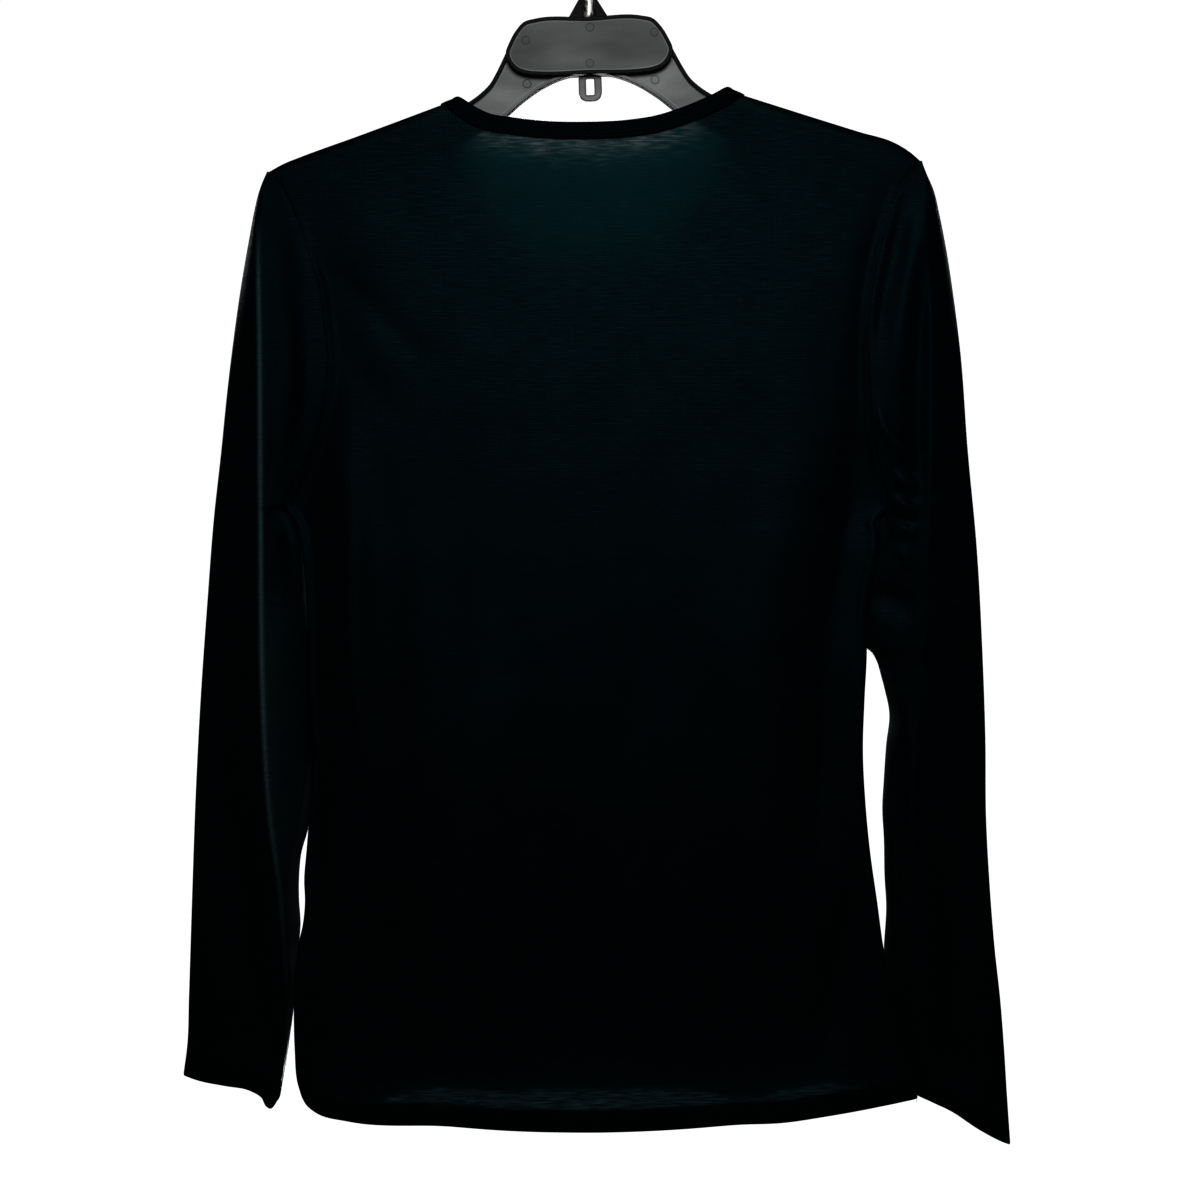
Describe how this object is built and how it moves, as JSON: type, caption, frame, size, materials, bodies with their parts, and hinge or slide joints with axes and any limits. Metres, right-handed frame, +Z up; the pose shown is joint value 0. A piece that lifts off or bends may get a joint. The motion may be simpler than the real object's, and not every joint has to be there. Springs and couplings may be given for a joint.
{
  "type": "base layer top on a hanger",
  "caption": "Long-sleeved crew-neck jersey base layer top with curved armhole seams and a bound neckline, hung on a moulded plastic hanger with a metal hook.",
  "frame": {"origin": "inside the top of the hook, where it rests on a rail", "axes": "+Z up; -Y is the side that shows the garment's back, +Y its front; -X is the garment's left as it is worn, left as seen from -Y"},
  "size_m": [0.531, 0.0431, 0.7914],
  "materials": {
    "jersey": "thin knitted jersey, near-black teal, faint sheen",
    "binding": "folded jersey binding, near-black blue",
    "hanger_plastic": "moulded black polystyrene, satin to gloss",
    "hook_metal": "plated steel wire"
  },
  "bodies": {
    "root": {"back_panel": "jersey", "front_panel": "jersey", "sleeve_left": "jersey", "sleeve_right": "jersey", "neck_binding": "binding", "hanger_frame": "hanger_plastic", "hanger_plate_back": "hanger_plastic", "hanger_plate_front": "hanger_plastic", "hanger_socket": "hanger_plastic", "hanger_tab": "hanger_plastic", "hanger_hook": "hook_metal"}
  },
  "joints": []
}
